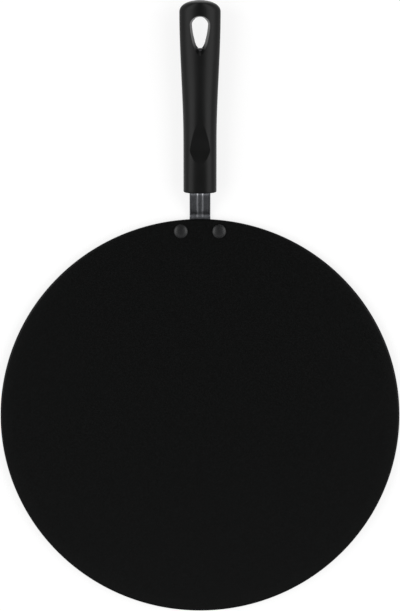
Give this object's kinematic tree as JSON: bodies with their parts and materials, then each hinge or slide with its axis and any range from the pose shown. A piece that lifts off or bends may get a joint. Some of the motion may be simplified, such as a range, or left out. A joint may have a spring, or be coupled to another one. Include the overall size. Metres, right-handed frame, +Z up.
{
  "type": "flat frying pan",
  "caption": "Flat round griddle pan, black non-stick plate with a riveted steel stem and a black moulded handle with a teardrop hanging hole.",
  "frame": {"origin": "centre of the plate's flat underside", "axes": "+Z up out of the cooking face, +Y along the handle away from the plate, +X to the right seen from above with the handle up"},
  "size_m": [0.3, 0.4597, 0.0275],
  "materials": {
    "nonstick_coating": "satin black non-stick coating on aluminium, finely grained",
    "pressed_steel": "pressed steel with drawing streaks along the stem",
    "coated_rivet": "dark coated aluminium rivet head",
    "black_bakelite": "black moulded phenolic, low satin gloss",
    "black_oxide": "blackened steel fastener, dull oiled sheen"
  },
  "bodies": {
    "root": {"griddle_plate": "nonstick_coating", "handle_bracket": "pressed_steel", "rivet_left": "coated_rivet", "rivet_right": "coated_rivet", "handle_grip": "black_bakelite", "handle_screw": "black_oxide", "spring_washer": "black_oxide", "stem_nut": "black_oxide"}
  },
  "joints": []
}
